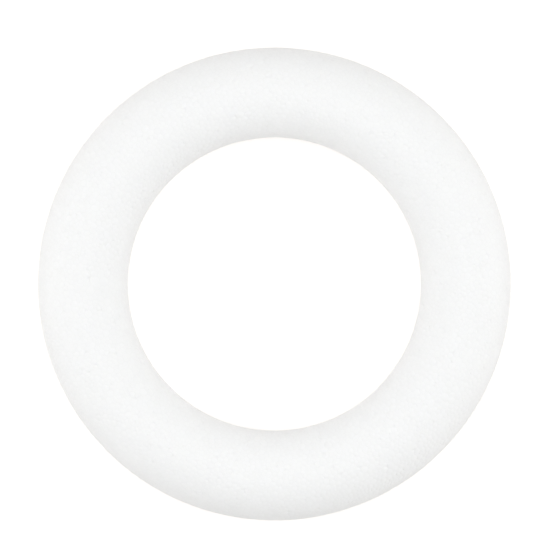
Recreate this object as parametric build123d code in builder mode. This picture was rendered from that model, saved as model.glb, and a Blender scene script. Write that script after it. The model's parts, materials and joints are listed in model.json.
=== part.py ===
from build123d import *

import os

# A thick foam ring lying flat: two half-round mouldings bonded face to face.
# The origin is the ring's centre and +Z is the ring's axis. Units are millimetres and degrees.

# Driving dimensions
OUTER_DIAMETER = 300.0  # across the whole ring
SECTION_DIAMETER = 57.0  # of the full-round section
FILM_THICKNESS = 0.2  # dried adhesive between the two halves
FILM_INSET = 2.0  # from the ring's surface to the edge of the film
EDGE_RADIUS = 0.5  # moulded edge of each half at the joint
TONGUE_WIDTH = 14.0  # at its root
TONGUE_HEIGHT = 4.0  # above the lower half's joint face
TONGUE_FLANK = 80.0  # slope of its flanks, so that the mouldings leave their tools
TONGUE_RADIUS = 1.2  # along its two crests

# Worked out from them
section_radius = SECTION_DIAMETER / 2
centreline_radius = (OUTER_DIAMETER - SECTION_DIAMETER) / 2
joint_face = FILM_THICKNESS / 2  # each half's joint face is this far from the joint plane

os.makedirs("parts", exist_ok=True)

# The tongue's profile, standing on the lower half's joint face
with BuildSketch(Plane.XZ) as tongue:
    with Locations((centreline_radius, -joint_face)):
        Trapezoid(TONGUE_WIDTH, TONGUE_HEIGHT, TONGUE_FLANK, align=(Align.CENTER, Align.MIN))
    fillet(tongue.vertices().group_by(Axis.Y)[-1], TONGUE_RADIUS)

# The groove's profile is the tongue's, larger by the film all round
with BuildSketch(Plane.XZ) as groove:
    add(tongue.sketch)
    offset(amount=FILM_THICKNESS, kind=Kind.INTERSECTION)

# Lower half: half-round below its joint face, with the tongue on that face
with BuildPart() as lower_half:
    with BuildSketch(Plane.XZ) as lower_section:
        with Locations((centreline_radius, 0)):
            Circle(section_radius)
        with Locations((centreline_radius, -joint_face)):
            Rectangle(
                SECTION_DIAMETER,
                section_radius + joint_face,
                align=(Align.CENTER, Align.MIN),
                mode=Mode.SUBTRACT,
            )
        fillet(lower_section.vertices(), EDGE_RADIUS)
        add(tongue.sketch)
    revolve(axis=Axis.Z)

# Upper half: the same half-round above its joint face, with the groove cut into that face
with BuildPart() as upper_half:
    with BuildSketch(Plane.XZ) as upper_section:
        with Locations((centreline_radius, 0)):
            Circle(section_radius)
        with Locations((centreline_radius, joint_face)):
            Rectangle(
                SECTION_DIAMETER,
                section_radius + joint_face,
                align=(Align.CENTER, Align.MAX),
                mode=Mode.SUBTRACT,
            )
        fillet(upper_section.vertices(), EDGE_RADIUS)
        add(groove.sketch, mode=Mode.SUBTRACT)
    revolve(axis=Axis.Z)

# Adhesive film: fills the joint over both lands, the flanks and the tongue's crest
with BuildPart() as adhesive_film:
    with BuildSketch(Plane.XZ):
        with Locations((centreline_radius, 0)):
            Rectangle(SECTION_DIAMETER - 2 * FILM_INSET, FILM_THICKNESS)
        add(groove.sketch)
        with Locations((centreline_radius, -joint_face)):
            Rectangle(
                SECTION_DIAMETER,
                TONGUE_HEIGHT,
                align=(Align.CENTER, Align.MAX),
                mode=Mode.SUBTRACT,
            )
        add(tongue.sketch, mode=Mode.SUBTRACT)
    revolve(axis=Axis.Z)

lower_half.part.label = "lower_half"
export_step(lower_half.part, "parts/lower_half.step")

upper_half.part.label = "upper_half"
export_step(upper_half.part, "parts/upper_half.step")

adhesive_film.part.label = "adhesive_film"
export_step(adhesive_film.part, "parts/adhesive_film.step")
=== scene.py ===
"""A thick ring of moulded bead foam lying flat, seen straight down its axis.

Each half of the ring is one closed mesh whose curved face is a mosaic of beads. Every bead is its own
slightly domed and tilted facet. The seams between beads are grooves, and the points where beads meet
are pits.
"""

import cmath
import json
import math

import bmesh
import bpy
import numpy as np
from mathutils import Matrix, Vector, geometry


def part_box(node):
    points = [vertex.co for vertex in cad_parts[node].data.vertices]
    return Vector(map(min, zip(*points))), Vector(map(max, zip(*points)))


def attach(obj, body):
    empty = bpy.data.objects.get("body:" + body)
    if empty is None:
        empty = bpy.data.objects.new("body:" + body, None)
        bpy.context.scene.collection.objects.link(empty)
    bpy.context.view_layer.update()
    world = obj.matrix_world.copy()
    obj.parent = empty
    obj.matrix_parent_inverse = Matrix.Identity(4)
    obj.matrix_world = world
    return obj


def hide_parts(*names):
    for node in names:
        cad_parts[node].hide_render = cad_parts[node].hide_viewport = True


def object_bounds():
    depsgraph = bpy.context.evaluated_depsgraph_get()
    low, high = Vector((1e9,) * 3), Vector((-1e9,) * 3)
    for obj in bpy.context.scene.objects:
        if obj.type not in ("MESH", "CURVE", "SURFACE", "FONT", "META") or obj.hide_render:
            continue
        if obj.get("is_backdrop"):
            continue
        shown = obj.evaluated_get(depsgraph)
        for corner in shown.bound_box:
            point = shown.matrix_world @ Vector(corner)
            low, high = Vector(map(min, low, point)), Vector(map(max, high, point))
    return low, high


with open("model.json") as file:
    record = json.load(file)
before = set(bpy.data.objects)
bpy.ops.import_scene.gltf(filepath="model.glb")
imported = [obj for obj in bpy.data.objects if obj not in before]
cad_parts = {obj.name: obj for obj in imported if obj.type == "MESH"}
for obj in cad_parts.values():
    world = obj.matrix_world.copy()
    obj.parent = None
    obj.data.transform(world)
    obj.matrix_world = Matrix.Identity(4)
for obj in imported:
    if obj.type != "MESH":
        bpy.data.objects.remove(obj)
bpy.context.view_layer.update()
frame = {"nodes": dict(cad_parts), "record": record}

MM = 0.001
TAU = 2 * math.pi

# Sizes read from the frame, in metres
mounts = {mount["name"]: mount for mount in frame["record"]["mounts"]}
RING_R = mounts["resting_circle"]["dims"]["r_mm"] * MM  # circle through the middle of the section
HOLE_R = mounts["centre_opening"]["dims"]["r_mm"] * MM
TUBE_R = RING_R - HOLE_R
JOINT_Z = -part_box("adhesive_film")[0].z  # each half's joint face is this far from the joint plane
TONGUE_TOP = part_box("lower_half")[1].z
GROOVE_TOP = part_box("adhesive_film")[1].z

# The joint inside, in metres and radians
EDGE_R = 0.5 * MM  # moulded edge of each half at the joint
TONGUE_WIDTH = 14 * MM  # at its root
TONGUE_FLANK = math.radians(80)
CREST_R = 1.2 * MM
ARC_STEPS = 4  # in each rounded corner of the joint

# The beads
BEAD_AREA = 9.9 * MM * MM  # mean, so that beads are about 3.3 mm across
RELAX_STEPS = 7  # more makes the beads more alike
SEAM_WIDTH = 0.30 * MM  # from a bead's flat to the seam's bottom
SEAM_DEPTH = (0.01 * MM, 0.06 * MM)
PIT_DEPTH = (0.03 * MM, 0.12 * MM)  # where three beads meet
DEEP_PIT_SHARE = 0.04
DEEP_PIT = 0.24 * MM
BEAD_LIFT = 0.02 * MM  # how much bead heights differ
BEAD_TILT = 0.012  # slope of a bead's facet, as a standard deviation
BEAD_DOME = 0.04 * MM
LEAST_FLAT = 0.5  # of the way from a bead's middle to its corner stays flat, however small the bead
SEAM_TINT = 0.5  # what a seam's vertices carry in place of a bead's own tint

# The foam's colour and finer grain
BEAD_GREYS = (0.923, 0.932)  # the darkest bead and the lightest
# Painted shade in the grooves between beads: these four set how the seams' colour is greyed as if shadowed
SEAM_PAINTED_SHADE = 0.87
SEAM_SHADE_WARMTH = 0.002
SEAM_SHADE_START = 0.25  # of the way from a bead's flat down to a seam's bottom, where the painted seam shade begins
SEAM_SHADE_MIX = 0.55  # of the painted seam shade at its bottom
CELL_SIZE = 0.35 * MM
CELL_RELIEF = 0.02 * MM
GRAIN_SIZE = 0.9 * MM
GRAIN_RELIEF = 0.06 * MM

# The adhesive's uneven spread
SPREAD_SIZE = 4 * MM
SPREAD_RELIEF = 0.05 * MM

# Framing: the ring's outline against half the frame, and where its centre is, as shares of the frame
RING_IN_FRAME = 0.8597
CENTRE_LEFT = 0.0011
CENTRE_DOWN = 0.0163
LENS_MM = 200.0


# ---------------------------------------------------------------- the bead mosaic

# A torus unrolls onto a plane without changing the shape of anything small: along is the angle round the
# ring, and across grows with the angle round the section.
SPAN = TUBE_R / math.sqrt(RING_R**2 - TUBE_R**2)
STRETCH = math.sqrt((RING_R + TUBE_R) / (RING_R - TUBE_R))


def across_from_turn(turn):
    """The unrolled coordinate of an angle round the section, which is 0 at the outer equator."""
    return 2 * SPAN * np.arctan(np.tan(turn / 2) / STRETCH)


def turn_from_across(across):
    return 2 * np.arctan(np.tan(across / (2 * SPAN)) * STRETCH)


def scale_at(across):
    """Metres on the surface to one unit of the unrolled plane."""
    return RING_R + TUBE_R * np.cos(turn_from_across(across))


EDGE_TURN = math.asin((JOINT_Z + EDGE_R) / (TUBE_R - EDGE_R))  # where the curved face meets the moulded edge
OUTER_EDGE = float(across_from_turn(EDGE_TURN))
INNER_EDGE = float(across_from_turn(math.pi - EDGE_TURN))
WRAP = 0.15  # how much of the pattern is repeated round its borders before it is triangulated
TURN_STEPS = 2000  # in adding up the curved face's area
SAME_POINT = 1e-9  # points nearer than this are one point to the triangulation


def scatter(rng):
    """Random points on one half's curved face, evenly spread over its real area."""
    turns = np.linspace(EDGE_TURN, math.pi - EDGE_TURN, TURN_STEPS + 1)
    rings = RING_R + TUBE_R * np.cos(turns)
    share = np.concatenate([[0], np.cumsum((rings[1:] + rings[:-1]) / 2)])
    area = share[-1] * (turns[1] - turns[0]) * TUBE_R * TAU
    count = round(area / BEAD_AREA)
    turn = np.interp(rng.random(count) * share[-1], share, turns)
    return np.stack([rng.random(count) * TAU, across_from_turn(turn)], axis=1)


def triangulate(sites):
    """Delaunay triangles of the sites with their copies round the ring and mirrored in both edges.

    Returns the points, the site that each copies, whether it is mirrored, and the triangles that touch
    a site."""
    here, owner, mirrored = [sites], [np.arange(len(sites))], [np.zeros(len(sites), bool)]
    for edge in (OUTER_EDGE, INNER_EDGE):
        near = np.abs(sites[:, 1] - edge) < WRAP
        here.append(np.stack([sites[near, 0], 2 * edge - sites[near, 1]], axis=1))
        owner.append(np.flatnonzero(near))
        mirrored.append(np.ones(near.sum(), bool))
    points, owner, mirrored = np.concatenate(here), np.concatenate(owner), np.concatenate(mirrored)
    low, high = points[:, 0] < WRAP, points[:, 0] > TAU - WRAP
    points = np.concatenate([points, points[low] + (TAU, 0), points[high] - (TAU, 0)])
    owner = np.concatenate([owner, owner[low], owner[high]])
    mirrored = np.concatenate([mirrored, mirrored[low], mirrored[high]])
    found = geometry.delaunay_2d_cdt([Vector(p) for p in points], [], [], 0, SAME_POINT)
    source = np.array([first[0] for first in found[3]])
    triangles = source[np.array(found[2])]
    return points, owner, mirrored, triangles[(triangles < len(sites)).any(axis=1)]


def corners_of(points, mirrored, triangles):
    """For each triangle, the point where its three beads meet, its middle, and whether it spans an edge.

    Where a triangle spans an edge of the face, its beads meet on that edge."""
    a, b, c = (points[triangles[:, k]] for k in range(3))
    ab, ac = b - a, c - a
    cross = 2 * (ab[:, 0] * ac[:, 1] - ab[:, 1] * ac[:, 0])
    ab2, ac2 = (ab**2).sum(axis=1), (ac**2).sum(axis=1)
    offset = np.stack([ac[:, 1] * ab2 - ab[:, 1] * ac2, ab[:, 0] * ac2 - ac[:, 0] * ab2], axis=1)
    centre = a + offset / cross[:, None]
    middle = (a + b + c) / 3
    on_edge = mirrored[triangles].any(axis=1)
    corner = np.where(on_edge[:, None], centre, (centre + middle) / 2)
    nearer_outer = np.abs(middle[:, 1] - OUTER_EDGE) < np.abs(middle[:, 1] - INNER_EDGE)
    corner[on_edge, 1] = np.where(nearer_outer, OUTER_EDGE, INNER_EDGE)[on_edge]
    return corner, middle, on_edge


def relax(sites):
    """Moves each bead's centre to the middle of its own corners."""
    points, _, mirrored, triangles = triangulate(sites)
    corner, _, _ = corners_of(points, mirrored, triangles)
    total, count = np.zeros((len(sites), 2)), np.zeros(len(sites))
    for k in range(3):
        own = triangles[:, k] < len(sites)
        np.add.at(total, triangles[own, k], corner[own])
        np.add.at(count, triangles[own, k], 1)
    moved = total / count[:, None]
    return np.stack([moved[:, 0] % TAU, moved[:, 1]], axis=1)


class Skin:
    """A mesh under construction. Each row is a vertex: along, across, height, seam (where the material paints
    shade) and tint.
    """

    def __init__(self):
        self.rows, self.faces, self.named = [], [], {}

    def add(self, row):
        self.rows.append(row)
        return len(self.rows) - 1

    def shared(self, key, row):
        """The vertex with this key, added the first time that a bead asks for it."""
        if key not in self.named:
            self.named[key] = self.add(row)
        return self.named[key]


def bead_skin(rng):
    """The curved face of one half as a Skin, with the vertices along its outer and its inner edge."""
    sites = scatter(rng)
    for _ in range(RELAX_STEPS):
        sites = relax(sites)
    points, owner, mirrored, triangles = triangulate(sites)
    corner, middle, on_edge = corners_of(points, mirrored, triangles)
    keys = [tuple(sorted(set(owner[triangle].tolist()))) for triangle in triangles]
    fans = [[] for _ in sites]
    for t, triangle in enumerate(triangles):
        for site in triangle[triangle < len(sites)]:
            fans[site].append(t)

    skin, edges = Skin(), {OUTER_EDGE: set(), INNER_EDGE: set()}
    for place, fan in zip(sites, fans):
        fan.sort(key=lambda t: math.atan2(middle[t, 1] - place[1], middle[t, 0] - place[0]))
        fan = [t for k, t in enumerate(fan) if keys[t] != keys[fan[k - 1]]]
        scale = float(scale_at(place[1]))
        tilt = rng.normal(0, BEAD_TILT, 2) * scale
        lift = rng.uniform(-BEAD_LIFT, 0)
        tint = rng.random()
        hub = skin.add((*place, lift + BEAD_DOME, 0, tint))
        rim, corners, seams = [], [], []
        for t, u in zip(fan, fan[1:] + fan[:1]):
            pit = DEEP_PIT if rng.random() < DEEP_PIT_SHARE else rng.uniform(*PIT_DEPTH)
            depth = rng.uniform(*SEAM_DEPTH)
            along_edge = on_edge[t] and on_edge[u]
            corners.append(skin.shared(keys[t], (*corner[t], -depth if on_edge[t] else -pit, 1, SEAM_TINT)))
            halfway = (corner[t] + corner[u]) / 2
            seam = (*halfway, 0, 0, tint) if along_edge else (*halfway, -depth, 1, SEAM_TINT)
            seams.append(skin.shared(tuple(sorted((keys[t], keys[u]))), seam))
            out = corner[t] - place
            out *= max(LEAST_FLAT, 1 - SEAM_WIDTH / scale / np.hypot(*out))
            rim.append(skin.add((*(place + out), lift + tilt @ out, 0, tint)))
            if on_edge[t]:
                edges[corner[t, 1]].add(corners[-1])
            if along_edge:
                edges[corner[t, 1]].add(seams[-1])
        for k, n in zip(range(len(fan)), [*range(1, len(fan)), 0]):
            skin.faces += [
                (hub, rim[k], rim[n]),
                (rim[k], corners[k], seams[k]),
                (rim[k], seams[k], rim[n]),
                (rim[n], seams[k], corners[n]),
            ]
    return skin, edges


# ---------------------------------------------------------------- the joint face


def rounded(before, corner, after, radius):
    """Points of the arc that rounds a corner of an outline. Points are complex numbers."""
    into = (corner - before) / abs(corner - before)
    out = (after - corner) / abs(after - corner)
    turn = cmath.phase(out / into)
    start = corner - into * radius * math.tan(abs(turn) / 2)
    centre = start + into * 1j * math.copysign(radius, turn)
    return [centre + (start - centre) * cmath.rect(1, turn * k / ARC_STEPS) for k in range(ARC_STEPS + 1)]


def joint_outline(crest, clearance):
    """The tongue or groove from its outer root to its inner one: distance from RING_R, then height.

    Heights are in the half's own sense, away from the joint plane, so a tongue's crest is below zero."""
    root = TONGUE_WIDTH / 2 + clearance * math.tan(TONGUE_FLANK / 2)
    top = root - abs(crest - JOINT_Z) / math.tan(TONGUE_FLANK)
    corners = [complex(root, JOINT_Z), complex(top, crest), complex(-top, crest), complex(-root, JOINT_Z)]
    crests = [rounded(*corners[k : k + 3], CREST_R + clearance) for k in (0, 1)]
    return [corners[0], *crests[0], *crests[1], corners[3]]


def moulded_edge(sense):
    """The rounded edge between the curved face and the joint face, outside (sense 1) or inside (sense -1)."""
    middle = complex(math.sqrt((TUBE_R - EDGE_R) ** 2 - (JOINT_Z + EDGE_R) ** 2), JOINT_Z + EDGE_R)
    angles = np.linspace(EDGE_TURN, -math.pi / 2, ARC_STEPS + 1)[1:]
    arc = [middle + cmath.rect(EDGE_R, angle) for angle in angles]
    return [complex(sense * point.real, point.imag) for point in arc]


def zipped(outer, outer_angles, inner, inner_angles):
    """Triangles between two rings of vertices whose angles differ."""
    faces, i, j = [], 0, 0
    next_outer = [*outer_angles[1:], outer_angles[0] + TAU]
    next_inner = [*inner_angles[1:], inner_angles[0] + TAU]
    while i < len(outer) or j < len(inner):
        here, there = outer[i % len(outer)], inner[j % len(inner)]
        if j == len(inner) or (i < len(outer) and next_outer[i] < next_inner[j]):
            i += 1
            faces.append((here, outer[i % len(outer)], there))
        else:
            j += 1
            faces.append((here, inner[j % len(inner)], there))
    return faces


def foam_mesh(name, places, faces, seam, tint):
    """A smooth mesh that faces outwards, with the seam mask, where the foam's material paints shade, and the
    tint that it reads.

    The skin's vertices come first, and only they have values of their own."""
    mesh = bpy.data.meshes.new(name)
    mesh.from_pydata(places, [], faces)
    plain = len(places) - len(seam)
    attributes = {
        "seam": np.append(seam, np.zeros(plain)),
        "tint": np.append(tint, np.full(plain, SEAM_TINT)),
    }
    for word, values in attributes.items():
        mesh.attributes.new(word, "FLOAT", "POINT").data.foreach_set("value", values)
    shape = bmesh.new()
    shape.from_mesh(mesh)
    bmesh.ops.recalc_face_normals(shape, faces=shape.faces)
    for face in shape.faces:
        face.smooth = True
    shape.to_mesh(mesh)
    shape.free()
    return mesh


def half(name, node, crest, clearance, sense, seed):
    """One bonded half as a closed mesh: beaded outside, with the tongue or groove on its joint face."""
    skin, edges = bead_skin(np.random.default_rng(seed))
    along, across, height, seam, tint = np.array(skin.rows).T
    turn = turn_from_across(across)
    reach, rise = RING_R + (TUBE_R + height) * np.cos(turn), (TUBE_R + height) * np.sin(turn)
    places = [np.stack([reach * np.cos(along), reach * np.sin(along), rise], axis=1)]
    faces = list(skin.faces)

    def ring(angles, point):
        """Adds a ring of vertices at one point of the section, and returns their numbers."""
        first = sum(map(len, places))
        reach, rise = RING_R + point.real, np.full(len(angles), point.imag)
        places.append(np.stack([reach * np.cos(angles), reach * np.sin(angles), rise], axis=1))
        return list(range(first, first + len(angles)))

    def walk(loop, angles, outline):
        """Carries a loop of vertices along an outline, and returns the last ring."""
        for point in outline:
            new = ring(angles, point)
            faces.extend(zip(loop, loop[1:] + loop[:1], new[1:] + new[:1], new))
            loop = new
        return loop

    outer, inner = (sorted(edges[edge], key=lambda v: along[v] % TAU) for edge in (OUTER_EDGE, INNER_EDGE))
    outer_angles, inner_angles = along[outer] % TAU, along[inner] % TAU
    last_outer = walk(outer, outer_angles, [*moulded_edge(1), *joint_outline(crest, clearance)])
    last_inner = walk(inner, inner_angles, moulded_edge(-1))
    faces += zipped(last_outer, outer_angles, last_inner, inner_angles)

    mesh = foam_mesh(name, np.concatenate(places) * (1, 1, sense), faces, seam, tint)
    piece = bpy.data.objects.new(name, mesh)
    bpy.context.scene.collection.objects.link(piece)
    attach(piece, "root")
    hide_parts(node)
    return piece


# ---------------------------------------------------------------- materials


def node_maker(tree):
    """A function that adds a shader node to the tree, with its settings and its inputs given by name."""

    def node(kind, **values):
        new = tree.nodes.new("ShaderNode" + kind)
        for key, value in values.items():
            if hasattr(new, key):
                setattr(new, key, value)
            else:
                new.inputs[key.replace("_", " ").title()].default_value = value
        return new

    return node


def material(name):
    """A new material, what links its nodes, its Principled shader, and what makes more nodes."""
    made = bpy.data.materials.new(name)
    made.use_nodes = True
    tree = made.node_tree
    return made, tree.links.new, tree.nodes["Principled BSDF"], node_maker(tree)


def grey(level, warmth=0.0):
    return (level + warmth, level, level - warmth, 1)


def bead_foam():
    """Moulded bead foam: matt white and each bead a tone of its own, with painted shade greying the seams
    between beads.
    """
    made, link, shader, node = material("bead_foam")
    place = node("TexCoord").outputs["Object"]
    seam = node("Attribute", attribute_name="seam").outputs["Fac"]
    tint = node("Attribute", attribute_name="tint").outputs["Fac"]

    shade = node("Mix", data_type="RGBA")
    for side, level in zip("AB", BEAD_GREYS):
        shade.inputs[side].default_value = grey(level)
    link(tint, shade.inputs["Factor"])
    # Painted shade: the seam mask greys the base colour in the grooves between beads, where shade falls
    depth = node("MapRange", From_Min=SEAM_SHADE_START, From_Max=1.0, To_Min=0.0, To_Max=SEAM_SHADE_MIX)
    link(seam, depth.inputs["Value"])
    seams = node("Mix", data_type="RGBA")
    seams.inputs["B"].default_value = grey(SEAM_PAINTED_SHADE, SEAM_SHADE_WARMTH)
    link(depth.outputs["Result"], seams.inputs["Factor"])
    link(shade.outputs["Result"], seams.inputs["A"])
    link(seams.outputs["Result"], shader.inputs["Base Color"])

    cells = node("TexVoronoi", feature="DISTANCE_TO_EDGE", Scale=1 / CELL_SIZE)
    link(place, cells.inputs["Vector"])
    grain = node("TexNoise", Scale=1 / GRAIN_SIZE, Detail=3.0)
    link(place, grain.inputs["Vector"])
    satin = node("MapRange", To_Min=0.55, To_Max=0.78)
    link(grain.outputs["Fac"], satin.inputs["Value"])
    link(satin.outputs["Result"], shader.inputs["Roughness"])
    fine = node("Bump", Strength=0.5, Distance=CELL_RELIEF)
    link(cells.outputs["Distance"], fine.inputs["Height"])
    coarse = node("Bump", Strength=0.6, Distance=GRAIN_RELIEF)
    link(grain.outputs["Fac"], coarse.inputs["Height"])
    link(fine.outputs["Normal"], coarse.inputs["Normal"])
    link(coarse.outputs["Normal"], shader.inputs["Normal"])

    shader.inputs["IOR"].default_value = 1.35
    shader.inputs["Specular IOR Level"].default_value = 0.35
    shader.inputs["Subsurface Weight"].default_value = 0.25
    shader.inputs["Subsurface Radius"].default_value = (1.0, 1.0, 0.95)
    shader.inputs["Subsurface Scale"].default_value = 1.2 * MM
    return made


def dried_adhesive():
    """Dried foam adhesive: milky, a little yellow, and unevenly spread."""
    made, link, shader, node = material("dried_adhesive")
    place = node("TexCoord").outputs["Object"]
    spread = node("TexNoise", Scale=1 / SPREAD_SIZE, Detail=4.0, Distortion=0.6)
    link(place, spread.inputs["Vector"])
    tone = node("Mix", data_type="RGBA")
    tone.inputs["A"].default_value = (0.86, 0.84, 0.78, 1)
    tone.inputs["B"].default_value = (0.91, 0.90, 0.86, 1)
    link(spread.outputs["Fac"], tone.inputs["Factor"])
    link(tone.outputs["Result"], shader.inputs["Base Color"])
    gloss = node("MapRange", To_Min=0.30, To_Max=0.55)
    link(spread.outputs["Fac"], gloss.inputs["Value"])
    link(gloss.outputs["Result"], shader.inputs["Roughness"])
    ridges = node("Bump", Strength=0.5, Distance=SPREAD_RELIEF)
    link(spread.outputs["Fac"], ridges.inputs["Height"])
    link(ridges.outputs["Normal"], shader.inputs["Normal"])
    return made


def lit_floor():
    """The pale floor, lit from within a little, as the white sweep in a product studio looks."""
    made, _, shader, _ = material("pale_floor")
    shader.inputs["Base Color"].default_value = (*FLOOR_TONE, 1)
    shader.inputs["Roughness"].default_value = 0.9
    shader.inputs["Specular IOR Level"].default_value = 0.1
    shader.inputs["Emission Color"].default_value = grey(1.0)
    shader.inputs["Emission Strength"].default_value = FLOOR_GLOW
    return made


# ---------------------------------------------------------------- the studio

# Colours are linear RGB, and sizes are metres
SKY = (0.399, 0.406, 0.405)
FLOOR_TONE = (0.960, 0.930, 0.908)  # a little warm, so the ring's rims are too
FLOOR_GLOW = 0.19
FLOOR_HALF = 15.0
HORIZON = [FLOOR_GLOW + tone * sky for tone, sky in zip(FLOOR_TONE, SKY)]  # what the floor fades to far off
HORIZON_TOP = math.sin(math.radians(8))
SOFTBOX_HEIGHT = 2.2
SOFTBOX_WIDTH = 1.6
SOFTBOX_WATTS = 27.5
# The round lamps: name, azimuth from +X and elevation in degrees, distance and radius in metres, and watts
LAMPS = (
    ("lamp_right", 0, 16, 1.3, 0.3, 9.4),
    ("lamp_left", 180, 16, 1.3, 0.3, 9.4),
    ("lamp_back", 90, 45, 2.2, 0.5, 10.3),
)


def soft_sky():
    """An even sky that meets the far floor without a line."""
    made = bpy.data.worlds.new("sky")
    made.use_nodes = True
    tree = made.node_tree
    link, node = tree.links.new, node_maker(tree)
    parts = node("SeparateXYZ")
    link(node("TexCoord").outputs["Generated"], parts.inputs["Vector"])
    rise = node("MapRange", interpolation_type="SMOOTHSTEP", From_Max=HORIZON_TOP)
    link(parts.outputs["Z"], rise.inputs["Value"])
    colour = node("Mix", data_type="RGBA")
    colour.inputs["A"].default_value = (*HORIZON, 1)
    colour.inputs["B"].default_value = (*SKY, 1)
    link(rise.outputs["Result"], colour.inputs["Factor"])
    link(colour.outputs["Result"], tree.nodes["Background"].inputs["Color"])
    return made


def build_studio(floor_z):
    """The sky, the floor, the softbox above and the round lamps."""
    scene = bpy.context.scene
    scene.view_settings.view_transform = "Standard"
    scene.world = soft_sky()

    mesh = bpy.data.meshes.new("floor")
    corners = [(-1, -1), (1, -1), (1, 1), (-1, 1)]
    mesh.from_pydata([(x * FLOOR_HALF, y * FLOOR_HALF, floor_z) for x, y in corners], [], [(0, 1, 2, 3)])
    mesh.materials.append(lit_floor())
    floor = bpy.data.objects.new("floor", mesh)
    scene.collection.objects.link(floor)
    floor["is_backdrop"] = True

    softbox = bpy.data.lights.new("softbox", "AREA")
    softbox.shape, softbox.size, softbox.energy = "DISK", SOFTBOX_WIDTH, SOFTBOX_WATTS
    lamp = bpy.data.objects.new("softbox", softbox)
    lamp.location.z = SOFTBOX_HEIGHT
    scene.collection.objects.link(lamp)
    for name, azimuth, elevation, distance, radius, watts in LAMPS:
        light = bpy.data.lights.new(name, "POINT")
        light.shadow_soft_size, light.energy = radius, watts
        lamp = bpy.data.objects.new(name, light)
        turn, rise = math.radians(azimuth), math.radians(elevation)
        way = Vector((math.cos(turn) * math.cos(rise), math.sin(turn) * math.cos(rise), math.sin(rise)))
        lamp.location = way * distance
        scene.collection.objects.link(lamp)


def aim_camera():
    """Straight above the ring, as far off as makes its outline fill its share of the frame."""
    lens = bpy.data.cameras.new("camera")
    lens.lens = LENS_MM
    half_view = lens.sensor_width / 2 / lens.lens
    edge = math.atan(RING_IN_FRAME * half_view)
    camera = bpy.data.objects.new("camera", lens)
    camera.location.z = (TUBE_R + RING_R * math.cos(edge)) / math.sin(edge)
    lens.shift_x, lens.shift_y = CENTRE_LEFT, CENTRE_DOWN
    lens.clip_end = FLOOR_HALF * 4
    bpy.context.scene.collection.objects.link(camera)
    bpy.context.scene.camera = camera


# ---------------------------------------------------------------- making it

aim_camera()
foam = bead_foam()
upper = half("upper_foam_half", "upper_half", GROOVE_TOP, 2 * JOINT_Z, 1, seed=11)
lower = half("lower_foam_half", "lower_half", -TONGUE_TOP, 0.0, -1, seed=23)
for piece in (upper, lower):
    piece.data.materials.append(foam)
film = frame["nodes"]["adhesive_film"]
film.material_slots[0].link = "OBJECT"
film.material_slots[0].material = dried_adhesive()
build_studio(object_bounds()[0].z)
